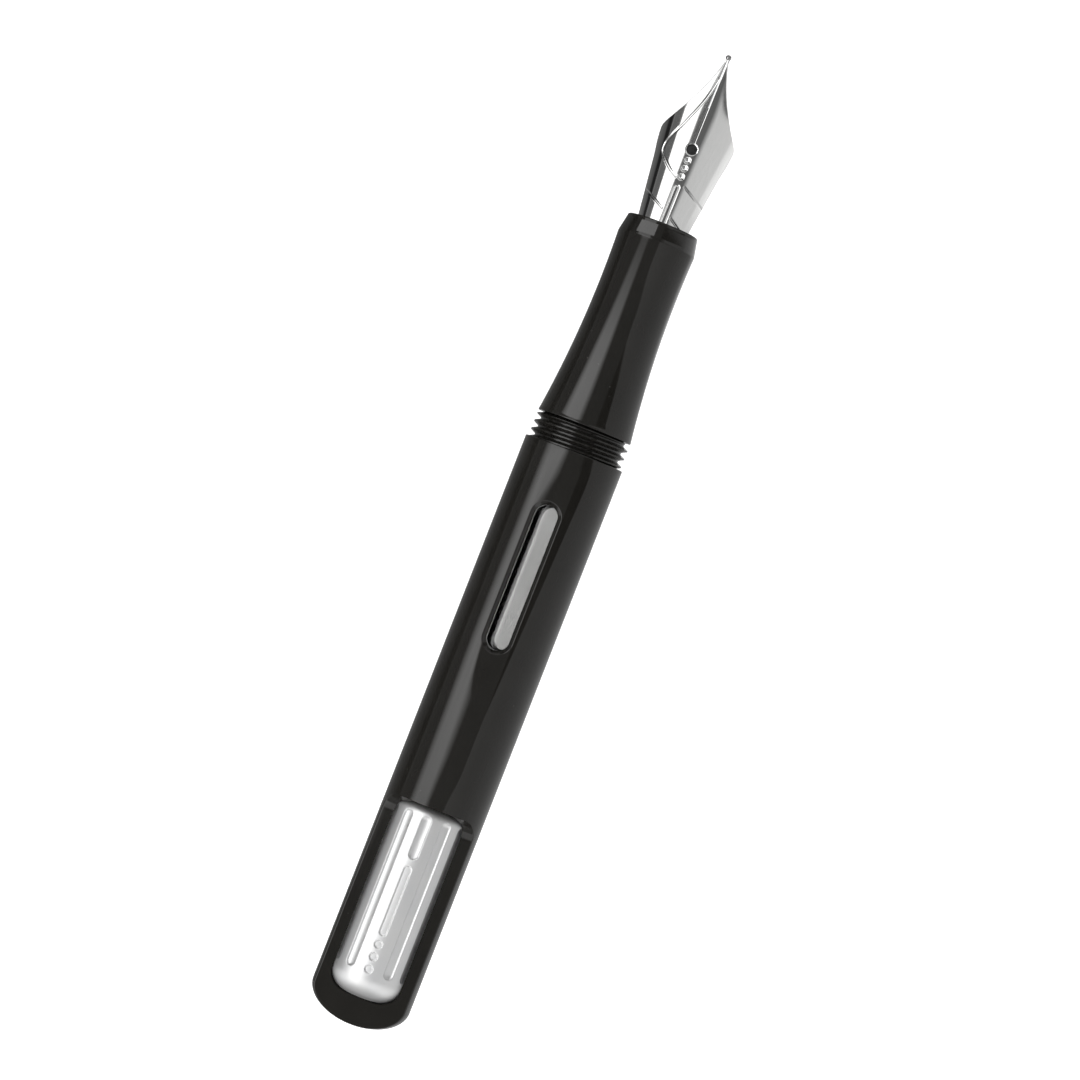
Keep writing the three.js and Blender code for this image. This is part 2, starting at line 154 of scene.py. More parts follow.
def true_normals(obj, rules):
    """Exact normals where a corner lies on a known surface: rules map (position, normal) arrays to
    (mask, normal), all in pen coordinates."""
    mesh = obj.data
    count = len(mesh.loops)
    where = np.empty(count, int)
    mesh.loops.foreach_get("vertex_index", where)
    co = np.empty(len(mesh.vertices) * 3)
    mesh.vertices.foreach_get("co", co)
    co = co.reshape(-1, 3)[where] / MM
    pos = np.stack([co[:, 1], co[:, 2] - AXIS, co[:, 0] - ALONG], -1)
    nor = np.empty(count * 3, np.float32)
    mesh.corner_normals.foreach_get("vector", nor)
    nor = nor.reshape(-1, 3).astype(float)
    nor = np.stack([nor[:, 1], nor[:, 2], nor[:, 0]], -1)
    for rule in rules:
        mask, exact = rule(pos)
        close = mask & ((nor * exact).sum(1) > math.cos(math.radians(NORMAL_REACH)))
        nor[close] = exact[close]
    out = np.stack([nor[:, 2], nor[:, 0], nor[:, 1]], -1)
    mesh.normals_split_custom_set([tuple(v) for v in out])


def on_cylinder(radius, z0, z1):
    def rule(p):
        r = np.hypot(p[:, 0], p[:, 1])
        exact = np.stack([p[:, 0] / np.maximum(r, 1e-9), p[:, 1] / np.maximum(r, 1e-9), 0 * r], -1)
        return (np.abs(r - radius) < 0.004) & (p[:, 2] > z0) & (p[:, 2] < z1), exact
    return rule


def on_plane(y, z0, z1):
    def rule(p):
        mask = (np.abs(p[:, 1] - y) < 0.002) & (p[:, 2] > z0) & (p[:, 2] < z1)
        return mask, np.tile([0.0, 1.0, 0.0], (len(p), 1))
    return rule


def finish_piece(obj, node, body, material):
    obj.data.materials.clear()
    obj.data.materials.append(material)
    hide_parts(node)
    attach(obj, body)
    return obj


# ---- materials ----
class Nodes:
    """A material with short calls for its nodes."""

    def __init__(self, name, **values):
        self.mat = bpy.data.materials.new(name)
        self.mat.use_nodes = True
        self.tree = self.mat.node_tree
        self.bsdf = self.tree.nodes["Principled BSDF"]
        for key, value in values.items():
            self.bsdf.inputs[key.replace("_", " ")].default_value = value
        self.coord = self.tree.nodes.new("ShaderNodeTexCoord")

    def add(self, kind, **props):
        node = self.tree.nodes.new(kind)
        for key, value in props.items():
            setattr(node, key, value)
        return node

    def link(self, a, b):
        self.tree.links.new(a, b)

    def mapped(self, sx, sy, sz):
        node = self.add("ShaderNodeMapping")
        node.inputs["Scale"].default_value = (sx, sy, sz)
        self.link(self.coord.outputs["Object"], node.inputs["Vector"])
        return node.outputs["Vector"]

    def noise(self, scale, detail=3.0, stretch=(1, 1, 1)):
        node = self.add("ShaderNodeTexNoise")
        node.inputs["Scale"].default_value = scale
        node.inputs["Detail"].default_value = detail
        self.link(self.mapped(*stretch), node.inputs["Vector"])
        return node.outputs["Fac"]

    def ramp(self, fac, stops):
        node = self.add("ShaderNodeValToRGB")
        band = node.color_ramp
        while len(band.elements) < len(stops):
            band.elements.new(0.5)
        for element, (at, color) in zip(band.elements, stops):
            element.position = at
            element.color = (*color, 1.0)
        self.link(fac, node.inputs["Fac"])
        return node.outputs["Color"]

    def span(self, fac, low, high):
        """A value from 0 to 1 spread between low and high."""
        node = self.add("ShaderNodeMapRange")
        node.inputs["To Min"].default_value = low
        node.inputs["To Max"].default_value = high
        self.link(fac, node.inputs["Value"])
        return node.outputs["Result"]

    def mix(self, fac, a, b):
        """Colour a where fac is 0, b where it is 1; sockets 6 and 7 in and 2 out are the colours."""
        node = self.add("ShaderNodeMix", data_type="RGBA")
        for socket, value in ((node.inputs[6], a), (node.inputs[7], b)):
            if isinstance(value, tuple):
                socket.default_value = (*value, 1.0)
            else:
                self.link(value, socket)
        self.link(fac, node.inputs[0])
        return node.outputs[2]

    def bump(self, height, strength, distance, under=None):
        node = self.add("ShaderNodeBump")
        node.inputs["Strength"].default_value = strength
        node.inputs["Distance"].default_value = distance
        self.link(height, node.inputs["Height"])
        if under:
            self.link(under, node.inputs["Normal"])
        return node.outputs["Normal"]

    def calc(self, operation, a, b=None, c=None):
        node = self.add("ShaderNodeMath", operation=operation)
        for socket, value in zip(node.inputs, (a, b, c)):
            if isinstance(value, (int, float)):
                socket.default_value = value
            elif value is not None:
                self.link(value, socket)
        return node.outputs[0]

    def table(self, value, low, high, stops, top=1.0):
        """Straight-line table of (value, result) pairs; results run from 0 to top."""
        place_in = self.calc("DIVIDE", self.calc("SUBTRACT", value, low), high - low)
        grey = [((at - low) / (high - low), (v / top,) * 3) for at, v in stops]
        out = self.ramp(place_in, grey)
        return self.calc("MULTIPLY", out, top) if top != 1.0 else out

    def to(self, socket, name):
        self.link(socket, self.bsdf.inputs[name])


def resin(name):
    m = Nodes(name, IOR=1.5)
    cloud = m.noise(260, 3)
    base = m.ramp(cloud, [(0.3, (0.0150, 0.0141, 0.0124)), (0.7, (0.0180, 0.0170, 0.0151))])
    dots = m.add("ShaderNodeTexVoronoi", feature="F1")
    dots.inputs["Scale"].default_value = 620
    m.link(m.mapped(1, 1, 1), dots.inputs["Vector"])
    speck = m.ramp(dots.outputs["Distance"], [(0.035, (1, 1, 1)), (0.06, (0, 0, 0))])
    rare = m.ramp(m.noise(150, 1), [(0.52, (0, 0, 0)), (0.6, (1, 1, 1))])
    both = m.mix(rare, (0, 0, 0), speck)
    m.to(m.mix(both, base, (0.075, 0.073, 0.068)), "Base Color")
    m.to(m.span(m.noise(900, 4), 0.02, 0.06), "Roughness")
    turned = m.bump(m.noise(1.0, 2, (9000, 300, 300)), 0.06, 2e-6)
    m.to(m.bump(m.noise(420, 3), 0.05, 6e-6, turned), "Normal")
    return m.mat


def steel(name, tone=0.86, low=0.05, high=0.13):
    m = Nodes(name, Metallic=1.0)
    streak = m.noise(1.0, 4, (700, 5200, 5200))
    dull = (tone * 0.96, tone * 0.96, tone * 0.95)
    clean = (tone, tone, tone * 0.99)
    m.to(m.ramp(streak, [(0.3, dull), (0.7, clean)]), "Base Color")
    m.to(m.span(m.noise(600, 4), low, high), "Roughness")
    m.to(m.bump(streak, 0.05, 2e-6), "Normal")
    return m.mat


def satin(name, tone=0.80):
    m = Nodes(name, Metallic=1.0)
    grain = m.noise(7000, 3)
    dull = (tone * 0.96, tone * 0.965, tone * 0.97)
    clean = (tone, tone, tone * 0.995)
    m.to(m.ramp(m.noise(350, 4), [(0.3, dull), (0.7, clean)]), "Base Color")
    m.to(m.span(grain, 0.44, 0.54), "Roughness")
    m.to(m.bump(grain, 0.12, 4e-6), "Normal")
    return m.mat


def plastic(name, low, high, rough_low, rough_high, grain=2600, depth=4e-6):
    m = Nodes(name, IOR=1.49)
    m.to(m.ramp(m.noise(300, 3), [(0.3, low), (0.7, high)]), "Base Color")
    fine = m.noise(grain, 3)
    m.to(m.span(fine, rough_low, rough_high), "Roughness")
    m.to(m.bump(fine, 0.15, depth), "Normal")
    return m.mat


def clear(name, low, high, ior):
    m = Nodes(name, IOR=ior)
    m.bsdf.inputs["Transmission Weight"].default_value = 1.0
    m.to(m.ramp(m.noise(240, 2), [(0.3, low), (0.7, high)]), "Base Color")
    m.to(m.span(m.noise(500, 3), 0.0, 0.02), "Roughness")
    m.to(m.bump(m.noise(300, 2), 0.01, 1e-6), "Normal")
    return m.mat


BLACK_RESIN = resin("black_resin")
SATIN_SILVER = satin("satin_silver")
NIB_STEEL = steel("nib_steel")
TIP_METAL = steel("tip_metal", 0.42, 0.12, 0.24)
BRIGHT_METAL = steel("bright_metal", 0.82, 0.08, 0.16)
FEED_PLASTIC = plastic("feed_plastic", (0.012, 0.012, 0.012), (0.02, 0.02, 0.02), 0.35, 0.5)
BLACK_PLASTIC = plastic("black_plastic", (0.014, 0.014, 0.014), (0.022, 0.022, 0.022), 0.2, 0.3)
SEAL_RUBBER = plastic("seal_rubber", (0.01, 0.01, 0.01), (0.018, 0.018, 0.018), 0.55, 0.7)
CLEAR_PLASTIC = clear("clear_plastic", (0.95, 0.95, 0.95), (0.98, 0.98, 0.98), 1.49)
SMOKE_RESIN = clear("smoke_resin", (0.590, 0.590, 0.585), (0.615, 0.615, 0.610), 1.5)

# ---- barrel ----
DOME_Z = -74.3
DOME = 3.8
RIM_Z = -3.4
NECK_R = 5.34
CREST_R = 6.0
PITCH = 1.03
THREAD_STEPS = 118
BORE_R = 4.55
CREST_Z = -1.45
FLAT_Y = 2.33
WALL_Z = -49.6
COVE_R = 2.6
SLOT_MID = -19.83
SLOT_STRAIGHT = 7.88
SLOT_HALF = 1.45
FLAT_EDGE = 0.22
INLAY_R = 4.93
INLAY_FLOOR = 1.8
INLAY_GAP = 0.06


def cap_thread(ang, r, z):
    """Single-start right-hand V thread on the neck, dying out at the joint and running into the rim."""
    lift = np.clip((0.42 - from_crest(ang, z, PITCH, CREST_Z)) / 0.33, 0, 1)
    lift = lift * np.clip((-0.1 - z) / 0.3, 0, 1)
    neck = (np.abs(r - NECK_R) < 1e-6) & (z < -0.05)
    return np.where(neck, NECK_R + (CREST_R - NECK_R) * lift, r)


def dome_radius(z):
    k = np.clip((DOME_Z - z) / DOME, 0, 1)
    return R * math.sqrt(1 - k * k)


def barrel_blank():
    outline = []
    for k in range(33):
        a = math.pi / 2 * k / 32
        outline.append((R * math.sin(a), DOME_Z - DOME * math.cos(a)))
    outline += arc(R - 0.12, RIM_Z - 0.12, 0.12, 0, 90, 5)
    outline += [(NECK_R, RIM_Z)]
    outline += [(NECK_R, RIM_Z + 3.3 * k / THREAD_STEPS) for k in range(1, THREAD_STEPS + 1)]
    outline += arc(NECK_R - 0.25, -0.25, 0.25, 36, 90, 4)
    outline += [(BORE_R, 0), (BORE_R, -33.6), (3.9, -34.1), (3.9, -48.2), (0, -48.2)]
    return lathe("barrel_body", outline, 384, shape=cap_thread)


def slot_ring(half, lift=None, y=0.0):
    """Round-ended slot outline; with lift it follows the barrel's surface, else it lies at height y."""
    pts = []
    steps = 40
    for side in (1, -1):
        for k in range(steps + 1):
            a = side * math.pi / 2 - math.pi / 2 + math.pi * k / steps
            x = half * math.cos(a)
            z = SLOT_MID + side * SLOT_STRAIGHT + half * math.sin(a)
            pts.append((x, y if lift is None else math.sqrt(R * R - x * x) + lift, z))
    return pts[::-1]


def slot_cap():
    """Quads across a slot outline: one between its two round ends, and strips over each end."""
    n = 41
    faces = [(0, n - 1, n, 2 * n - 1)]
    for start in (0, n):
        for i in range(n // 2):
            a, b, c, d = start + i, start + i + 1, start + n - 2 - i, start + n - 1 - i
            faces.append((a, b, c, d) if b != c else (a, b, d))
    return faces


def slot_tool(side):
    """The slot's two-step rounded mouth, as (widening, height above the barrel's surface) levels."""
    levels = [(-0.02, -0.95), (-0.02, -0.56), (0.0, -0.50), (0.035, -0.455), (0.41, -0.075), (0.44, -0.045),
              (0.475, -0.020), (0.515, -0.003), (0.555, 0.012), (0.66, 0.10), (0.8, 0.4)]
    rings = [[(side * x, side * y, z) for x, y, z in slot_ring(SLOT_HALF + g, lift)] for g, lift in levels]
    return loft("tool", rings, cap=slot_cap())


def slot_through():
    half = SLOT_HALF - 0.02
    return loft("tool", [slot_ring(half, y=-8.0), slot_ring(half, y=8.0)], cap=slot_cap())


def flat_section(z, floor):
    """Cross-section of what is cut away over the tail flat, its edges rounded into the barrel."""
    radius = dome_radius(z)
    right = []
    yc = floor - FLAT_EDGE
    if radius > FLAT_EDGE and abs(yc) < radius - FLAT_EDGE - 0.02:
        xc = math.sqrt((radius - FLAT_EDGE) ** 2 - yc ** 2)
        end = math.degrees(math.atan2(yc, xc))
        for k in range(7):
            a = math.radians(90 + (end - 90) * k / 6)
            right.append((xc + FLAT_EDGE * math.cos(a), yc + FLAT_EDGE * math.sin(a)))
    else:
        right = [(max(0.2, 0.3 + 0.02 * k), floor) for k in range(7)]
    right.append((8.5, right[-1][1] - 0.05))
    right.append((8.5, 9.0))
    left = [(-x, y) for x, y in reversed(right)]
    return [(x, y, z) for x, y in right + left][::-1]


def flat_tool():
    """What the tail flat cuts away: level from the tail, then rising through the cove to a steep wall."""
    path = [(-81.0, FLAT_Y)]
    path += [(DOME_Z - DOME * 0.93 * (1 - k / 24), FLAT_Y) for k in range(25)]
    for k in range(25):
        a = math.pi / 2 * k / 24
        path.append((WALL_Z - COVE_R + COVE_R * math.sin(a), FLAT_Y + COVE_R * (1 - math.cos(a))))
    path += [(WALL_Z + 0.0005, 5.4), (WALL_Z + 0.001, 5.9), (WALL_Z + 0.0015, 6.4), (WALL_Z + 0.002, 7.0)]
    return loft("tool", [flat_section(z, y) for z, y in path])


def bar_profile(r, z0, z1, rear, front, steps=14):
    """(radius, z) along a round bar with filleted ends."""
    out = []
    for k in range(steps + 1):
        a = math.pi / 2 * k / steps
        out.append((r - rear * (1 - math.sin(a)), z0 + rear * (1 - math.cos(a))))
    for k in range(steps + 1):
        a = math.pi / 2 * k / steps
        out.append((r - front * (1 - math.cos(a)), z1 - front * (1 - math.sin(a))))
    return out


def bar_ring(radius, z, floor, cols, depth=None):
    """Cross-section of the bar: a round top, lowered by depth(angle, z), on a level floor."""
    half = math.acos(min(floor / radius, 0.999))
    a = np.linspace(half, -half, cols)
    r = np.full(cols, radius)
    if depth is not None:
        r = r - depth(a, z)
    top = np.stack([r * np.sin(a), np.maximum(r * np.cos(a), floor + 0.002), np.full(cols, z)], -1)
    x0, x1 = top[-1, 0], top[0, 0]
    under = [(x0 + (x1 - x0) * k / 4, floor, z) for k in range(1, 4)]
    return np.concatenate([top, np.asarray(under)])


def pocket_tool():
    prof = bar_profile(INLAY_R + INLAY_GAP, -74.46, -49.66, 2.2, 0.9)
    return loft("tool", [bar_ring(r, z, INLAY_FLOOR - INLAY_GAP, 61) for r, z in prof][::-1])


def build_barrel():
    obj = barrel_blank()
    cut_away(obj, slot_through())
    cut_away(obj, slot_tool(1))
    cut_away(obj, slot_tool(-1))
    cut_away(obj, flat_tool())
    cut_away(obj, pocket_tool())
    soften(obj, 32)
    rules = [on_cylinder(R, DOME_Z, RIM_Z - 0.11), on_plane(FLAT_Y, -77.9, WALL_Z - COVE_R)]
    true_normals(obj, rules)
    return finish_piece(obj, "barrel", "barrel", BLACK_RESIN)


# ---- silver bar in the tail: grooves and dots as (angle, low z, high z, width, depth, round-bottomed) ----
BAR_LIP = 0.03
GROOVES = []
for degrees in (-60, -30, 30, 60):
    GROOVES.append((math.radians(degrees), -71.0, -50.8, 1.25, 0.29, True))
GROOVES.append((0.0, -56.3, -50.8, 1.25, 0.26, True))
GROOVES.append((0.0, -66.2, -57.2, 1.0, 0.11, False))
for z_dot in (-67.3, -68.9, -70.5):
    GROOVES.append((0.0, z_dot - 0.52, z_dot + 0.52, 1.04, 0.11, False))


def groove_depth(a, z):
    depth = np.zeros_like(a)
    for angle, low, high, width, deep, rounded in GROOVES:
        half = width / 2
        zc = min(max(z, low + half), high - half)
        d = np.hypot(INLAY_R * (a - angle), z - zc) / half
        cut = deep * (np.sqrt(np.clip(1 - d * d, 0, 1)) if rounded else np.clip((1 - d) / 0.2, 0, 1))
        lip = BAR_LIP * np.clip(1 - (d - 1) / 0.10, 0, 1)
        depth = np.maximum(depth, np.where(d < 1, cut + BAR_LIP, lip))
    return depth


def build_inlay():
    ends = bar_profile(INLAY_R, -74.4, -49.7, 2.8, 1.2, 20)
    body = [(INLAY_R, z) for z in np.arange(-71.55, -50.95, 0.05)]
    prof = ends[:21] + body + ends[21:]
    rings = [bar_ring(r, z, INLAY_FLOOR, 281, groove_depth if -71.3 < z < -50.6 else None) for r, z in prof]
    obj = loft("tail_bar", rings[::-1], 40)
    return finish_piece(obj, "tail_inlay", "barrel", SATIN_SILVER)


# ---- grip section: threaded tenon, waist, lip and front cone ----
TENON_R = 4.1
TENON_LIFT = 0.33
TENON_PITCH = 1.2
TENON_STEPS = 74
SECTION_R = 6.03
SECTION_ROUND = 0.07
WAIST_R = 4.82
WAIST_Z = 18.0
CONE_R = 4.93
CONE_Z = 24.08
FRONT_R = 4.53
FRONT_Z = 26.12


def tenon_thread(ang, r, z):
    lift = np.clip((0.46 - from_crest(ang, z, TENON_PITCH, TENON_PITCH / 2)) / 0.36, 0, 1)
    lift = lift * np.clip((z + 5.95) / 0.4, 0, 1) * np.clip((-1.55 - z) / 0.4, 0, 1)
    tenon = (np.abs(r - TENON_R) < 1e-6) & (z < -1.5)
    return np.where(tenon, TENON_R + TENON_LIFT * lift, r)


def build_section():
    outline = [(3.6, -6.2), (3.9, -6.2), (TENON_R, -6.0)]
    outline += [(TENON_R, -5.98 + 4.4 * k / TENON_STEPS) for k in range(TENON_STEPS + 1)]
    outline += [(TENON_R, -1.31), (3.94, -1.27), (3.94, -0.63), (TENON_R, -0.59), (TENON_R, 0.0)]
    outline += arc(SECTION_R - SECTION_ROUND, SECTION_ROUND, SECTION_ROUND, -90, 0, 4)
    waist_sweep = WAIST_Z ** 2 / (2 * (SECTION_R - WAIST_R))
    for k in range(1, 61):
        z = SECTION_ROUND + (24.0 - 0.12) * k / 61
        outline.append((WAIST_R + (z - WAIST_Z) ** 2 / (2 * waist_sweep), z))
    outline += [(4.951, 23.93), (4.952, 23.98), (4.944, 24.03), (CONE_R, CONE_Z)]
    for k in range(1, 7):
        outline.append((CONE_R + (FRONT_R - CONE_R) * k / 6, CONE_Z + (FRONT_Z - CONE_Z) * k / 6))
    outline += arc(FRONT_R - 0.18, FRONT_Z, 0.18, 8, 90, 6)
    outline += arc(4.03, FRONT_Z + 0.1, 0.08, 90, 180, 4)
    outline += [(3.95, 5.6), (3.6, 5.6)]
    obj = lathe("section_body", outline, 320, True, 30, tenon_thread)
    return finish_piece(obj, "section_shell", "section", BLACK_RESIN)


# ---- nib: half width, curl and crest by distance t behind the tip ----
TIP_Z = 48.5
HIDDEN = 22.2
THICK = 0.32
HEEL_HALF = 3.3
HEEL_R = 3.45
CURL = 5.7
TIP_CURL = 2.6
CURL_T = 8.0
RAKE = 0.105
HOLE_T = 12.5
HOLE_R = 0.675
SLIT_HALF = 0.03
BALL_R = 0.35
BALL_BACK = 0.64


def half_width(t):
    """Tines flaring to the shoulder, then a heel drawing in, with a small round between the two."""
    flare = np.maximum(0.37 + 0.26 * (t - 1.4) + 0.026 * (t - 1.4) ** 2, 0.28)
    left = np.maximum(HIDDEN - t, 0)
    back = HEEL_HALF + 0.13 * left + 0.09 * smoothstep(7.5, 9.8, left)
    return (flare + back - np.hypot(flare - back, 0.4)) / 2


def curl(t):
    front = TIP_CURL + (CURL - TIP_CURL) * smoothstep(0, CURL_T, t)
    back = CURL + (HEEL_R - CURL) * np.minimum((t - CURL_T) / (HIDDEN - CURL_T), 1)
    return np.where(t < CURL_T, front, back)


def crest(t):
    return HEEL_R - RAKE * np.maximum(HIDDEN - t, 0)


def near_line(t, x, line):
    """Distance from points (t, x) to a polyline."""
    best = np.full(t.shape, 1e9)
    for (t0, x0), (t1, x1) in zip(line, line[1:]):
        dt, dx = t1 - t0, x1 - x0
        k = np.clip(((t - t0) * dt + (x - x0) * dx) / (dt * dt + dx * dx), 0, 1)
        best = np.minimum(best, np.hypot(t - t0 - k * dt, x - x0 - k * dx))
    return best


def curve_through(points, steps=8):
    """Catmull-Rom points through the given ones."""
    p = [points[0], *points, points[-1]]
    out = []
    for i in range(1, len(p) - 2):
        for k in range(steps):
            s = k / steps
            out.append(tuple(0.5 * (2 * p[i][j] + (p[i + 1][j] - p[i - 1][j]) * s
                                    + (2 * p[i - 1][j] - 5 * p[i][j] + 4 * p[i + 1][j] - p[i + 2][j]) * s * s
                                    + (3 * p[i][j] - p[i - 1][j] - 3 * p[i + 1][j] + p[i + 2][j]) * s ** 3)
                             for j in range(2)))
    out.append(points[-1])
    return out


LEAF = curve_through([(3.3, 0.12), (6.2, 0.75), (9.6, 2.04), (11.6, 3.0), (13.0, 3.36), (14.1, 3.1),
                      (15.5, 1.8), (16.25, 0.62)])
# engraved lines as (points, half width, depth)
LINES = [(LEAF, 0.19, 0.085), ([(18.7, 3.95), (20.45, 0.75)], 0.15, 0.09),
         ([(17.15, -0.85), (18.95, -4.05)], 0.12, 0.08), ([(21.35, -0.7), (22.6, -2.7)], 0.14, 0.09)]


def engraving(t, x):
    """Depth below the nib's top: lines, dimples, the channel's outline, and the edges of slit and hole."""
    depth = np.zeros_like(t)
    for line, half, deep in LINES:
        d = near_line(t, x, line)
        depth = np.maximum(depth, deep * np.clip(1 - (d / half) ** 2, 0, 1))
    for at in (13.95, 15.0, 16.1):
        d = np.hypot(t - at, x) / 0.46
        depth = np.maximum(depth, 0.19 * np.clip(1 - d * d, 0, 1))
    d = np.abs(np.hypot(np.maximum(17.55 - t, 0), x) - 0.31) / 0.13
    depth = np.maximum(depth, 0.075 * np.clip(1 - d * d, 0, 1))
    d = np.abs(x) + 10 * np.maximum(t - 3.25, 0)
    depth = np.maximum(depth, 0.075 * np.clip(1 - d / 0.17, 0, 1))
    chamfer = 0.022 * np.clip((0.15 - np.abs(x)) / 0.10, 0, 1)
    depth = np.maximum(depth, np.where((t > 3.1) & (t < 12.4), chamfer, 0))
    d = np.hypot(t - HOLE_T, x)
    depth = np.maximum(depth, 0.09 * np.clip(1 - (d - 0.66) / 0.13, 0, 1))
    return depth


EDGE_ROUND = 0.8   # how far the rounded edge stands out, against half the nib's thickness
RIM_ANGLES = (60, 30, 0, -30, -60)


def nib_rings(ts, cols):
    """Cross-sections of the blade: engraved top, rounded edge, plain underside, rounded edge."""
    rings = []
    for t in ts:
        w = float(half_width(t))
        c = float(curl(t))
        top_y = float(crest(t))
        half = math.asin(min(w / c, 0.99))
        thick = THICK + 0.14 * max(0.0, 1 - t / 3)
        edge = thick * 0.5
        shrink = edge * EDGE_ROUND / c
        a = np.linspace(half - shrink, -half + shrink, cols)
        x = c * np.sin(a)
        dep = engraving(np.full(cols, float(t)), x) if t < 24 else 0 * a
        top = np.stack([(c - dep) * np.sin(a), top_y - c + (c - dep) * np.cos(a)], -1)
        ring = [top]
        for side, aa in ((-1, -half + shrink), (1, half - shrink)):
            centre = np.array([(c - edge) * math.sin(aa), top_y - c + (c - edge) * math.cos(aa)])
            out = np.array([math.sin(aa), math.cos(aa)])
            tan = side * np.array([math.cos(aa), -math.sin(aa)])
            steps = [math.radians(v) for v in RIM_ANGLES]
            rim = [centre + edge * (math.sin(s) * out + EDGE_ROUND * math.cos(s) * tan) for s in steps]
            if side == -1:
                ring.append(np.array(rim))
                b = np.linspace(-half + shrink, half - shrink, 41)
                ring.append(np.stack([(c - thick) * np.sin(b), top_y - c + (c - thick) * np.cos(b)], -1))
            else:
                ring.append(np.array(rim)[::-1])
        flat = np.concatenate(ring)
        rings.append(np.concatenate([flat, np.full((len(flat), 1), TIP_Z - t)], 1))
    return rings


def block(x0, x1, y0, y1, z0, z1):
    pts = [(x0, y0), (x1, y0), (x1, y1), (x0, y1)]
    return loft("tool", [[(x, y, z) for x, y in pts] for z in (z0, z1)])


def post(radius, x, z, y0, y1, cols=64):
    a = [2 * math.pi * k / cols for k in range(cols)]
    rings = [[(x + radius * math.cos(v), y, z - radius * math.sin(v)) for v in a] for y in (y0, y1)]
    return loft("tool", rings)


def build_nib():
    ts = [0.64 + 0.05 * k for k in range(68)]
    ts += [4.05 + 0.075 * k for k in range(252)]
    ts += [23.2, 25.0, 37.5]
    obj = loft("nib_blade", nib_rings(np.array(ts), 241)[::-1], 60)
    cut_away(obj, block(-SLIT_HALF, SLIT_HALF, -5, 6, TIP_Z - HOLE_T, TIP_Z + 1))
    cut_away(obj, post(HOLE_R, 0, TIP_Z - HOLE_T, -3, 6))
    soften(obj, 60)
    return finish_piece(obj, "nib", "section", NIB_STEEL)


def build_tipping():
    """Ball at the tip, cut off square behind, where it meets the blade."""
    base = math.asin((BALL_R - BALL_BACK) / BALL_R)
    steps = 24
    outline = [(0, TIP_Z - BALL_BACK)]
    for k in range(steps + 1):
        a = base + (math.pi / 2 - base) * k / steps
        outline.append((BALL_R * math.cos(a) if k < steps else 0.0, TIP_Z - BALL_R + BALL_R * math.sin(a)))
    pts = []
    cols = 64
    lift = float(crest(BALL_BACK)) - 0.22
    for r, z in outline:
        pts.append([(r * math.cos(2 * math.pi * j / cols), lift + r * math.sin(2 * math.pi * j / cols), z)
                    for j in range(cols)])
    obj = make("nib_ball", np.array(pts).reshape(-1, 3), skin_faces(len(pts), cols), 50)
    cut_away(obj, block(-SLIT_HALF, SLIT_HALF, lift - 0.18, 3, TIP_Z - 1, TIP_Z + 1))
    soften(obj, 50)
    return finish_piece(obj, "nib_tipping", "section", TIP_METAL)


FIN_PITCH = 1.15
FIN_GAP = 0.4
FEED_GAP = 0.04   # between the nib's underside and the feed
FEED_DEPTH = 3.3


def build_feed():
    """Ink feed under the nib, with a comb of slots across its underside."""
    slots = [(28.2 + FIN_PITCH * k, 28.2 + FIN_GAP + FIN_PITCH * k) for k in range(8)]
    ts = set(np.round(np.linspace(7.0, 22.2, 60), 4)) | {24.0, 37.9}
    for low, high in slots:
        for t in (TIP_Z - low, TIP_Z - high, TIP_Z - low + 0.001, TIP_Z - high - 0.001):
            ts.add(round(t, 4))
    rings = []
    for t in sorted(ts, reverse=True):
        inside = t >= HIDDEN
        grow = float(smoothstep(6.4, 13, t))
        reach = 3.37 if inside else 0.7 + 2.2 * grow
        reach = min(reach, float(half_width(t)) - 0.25)
        c = float(curl(t))
        half = math.asin(min(reach / c, 0.99))
        inner = c - THICK - FEED_GAP
        a = np.linspace(half, -half, 33)
        top = np.stack([inner * np.sin(a), float(crest(t)) - c + inner * np.cos(a)], -1)
        edge_x, edge_y = top[0]
        rise = 1 - min((t - 7) / (HIDDEN - 7), 1)
        depth = edge_y + FEED_DEPTH - (FEED_DEPTH + float(crest(7.0)) - 1.2) * rise ** 1.15
        depth = max(depth, 0.5)
        b = np.linspace(math.pi, 0, 33)[1:-1]
        under = np.stack([edge_x * np.cos(b), edge_y - depth * np.sin(b)], -1)
        z = TIP_Z - t
        for k, (low, high) in enumerate(slots):
            if low - 1e-6 <= z <= high + 1e-6:
                under[:, 1] = np.maximum(under[:, 1], -0.9 + 0.16 * k)
        flat = np.concatenate([top, under])
        rings.append(np.concatenate([flat, np.full((len(flat), 1), z)], 1))
    obj = loft("feed_comb", rings, 40)
    return finish_piece(obj, "feed", "section", FEED_PLASTIC)


# ---- turned pieces that are mostly inside ----
def ring_outline(r, z, radius, steps=24):
    return [(r + radius * math.cos(2 * math.pi * k / steps), z + radius * math.sin(2 * math.pi * k / steps))
            for k in range(steps)]


def sphere(name, x, y, z, radius, rows=32, cols=64):
    pts = []
    for k in range(rows + 1):
        a = -math.pi / 2 + math.pi * k / rows
        rr = radius * math.cos(a) if 0 < k < rows else 0.0
        pts.append([(x + rr * math.cos(2 * math.pi * j / cols), y + rr * math.sin(2 * math.pi * j / cols),
                     z + radius * math.sin(a)) for j in range(cols)])
    return make(name, np.array(pts).reshape(-1, 3), skin_faces(rows + 1, cols), 60)


def build_window_sleeve():
    obj = lathe("window_liner", [(4.1, -33.2), (4.5, -33.2), (4.5, -7.2), (4.1, -7.2)], 256, True)
    finish_piece(obj, "window_sleeve", "barrel_carrier", SMOKE_RESIN)


def build_seal_ring():
    obj = lathe("seal_ring", ring_outline(4.225, -0.95, 0.28), 128, True, 60)
    finish_piece(obj, "section_o_ring", "section", SEAL_RUBBER)


